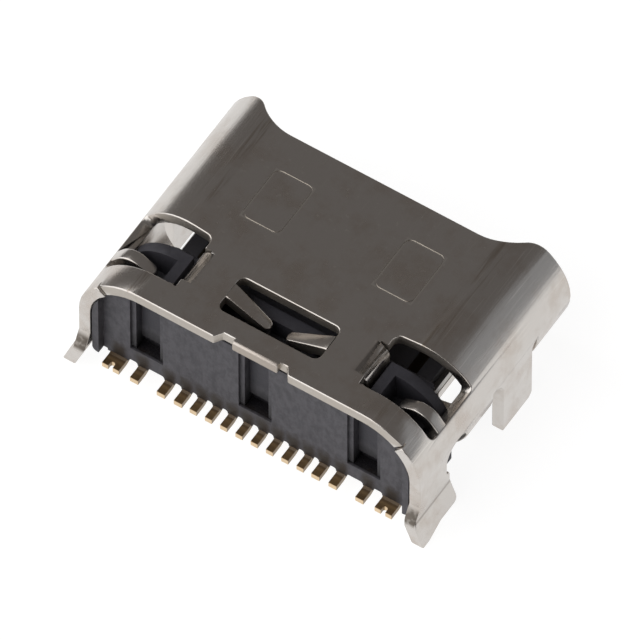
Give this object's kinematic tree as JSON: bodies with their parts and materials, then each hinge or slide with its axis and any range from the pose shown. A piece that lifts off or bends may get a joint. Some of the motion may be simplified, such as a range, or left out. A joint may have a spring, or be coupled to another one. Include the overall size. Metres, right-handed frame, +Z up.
{
  "type": "usb-c socket",
  "caption": "Board-mounted USB-C socket: flat-oval steel shell round a contact tongue, plastic housing, gold solder tails in one row and board legs.",
  "frame": {"origin": "on the board plane at the middle of the part's width, under the housing, 1.35 mm forward of the shell's rear edge", "axes": "+Z up off the board, +Y out of the mouth, +X to the right as seen from the rear"},
  "size_m": [0.0094, 0.0064, 0.0035],
  "materials": {
    "shell_steel": "satin nickel plate",
    "housing_plastic": "matte, mottled",
    "carrier_plastic": "matte",
    "plate_steel": "satin",
    "contact_gold": "satin gold plate"
  },
  "bodies": {
    "root": {"shell": "shell_steel", "housing": "housing_plastic", "upper_carrier": "carrier_plastic", "lower_carrier": "carrier_plastic", "mid_plate": "plate_steel", "data_a_right": "contact_gold", "data_a_left": "contact_gold", "channel_a_right": "contact_gold", "channel_a_left": "contact_gold", "power_a_right": "contact_gold", "power_a_left": "contact_gold", "ground_a_right": "contact_gold", "ground_a_left": "contact_gold", "data_b_right": "contact_gold", "data_b_left": "contact_gold", "channel_b_right": "contact_gold", "channel_b_left": "contact_gold", "power_b_right": "contact_gold", "power_b_left": "contact_gold", "ground_b_right": "contact_gold", "ground_b_left": "contact_gold"}
  },
  "joints": []
}
